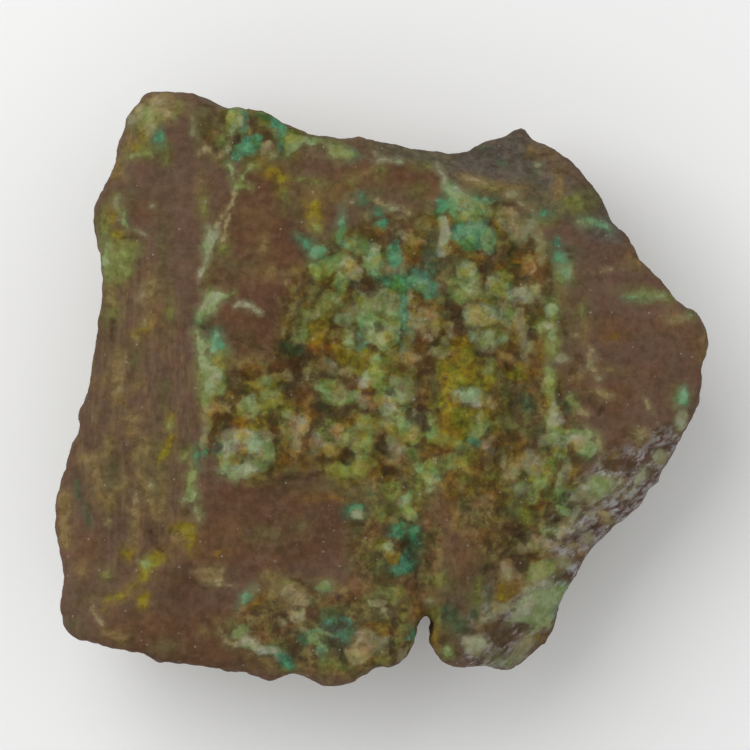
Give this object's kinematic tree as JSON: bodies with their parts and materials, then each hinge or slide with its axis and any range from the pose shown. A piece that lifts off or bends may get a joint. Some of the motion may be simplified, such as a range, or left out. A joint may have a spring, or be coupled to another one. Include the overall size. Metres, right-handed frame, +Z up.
{
  "type": "chrysocolla specimen",
  "caption": "Loose broken piece of brown rock with blue-green and yellow-green copper mineral on its show face and sides, lying on its flat back.",
  "frame": {"origin": "middle of the bounding box of the stone at the plane it rests on", "axes": "+Z up out of the show face, +X along the longest extent towards the pointed end, +Y towards the edge with the stepped ledge"},
  "size_m": [0.0988, 0.0898, 0.037],
  "materials": {
    "mineral_rock": "matte"
  },
  "bodies": {
    "root": {"chrysocolla_rock": "mineral_rock"}
  },
  "joints": []
}
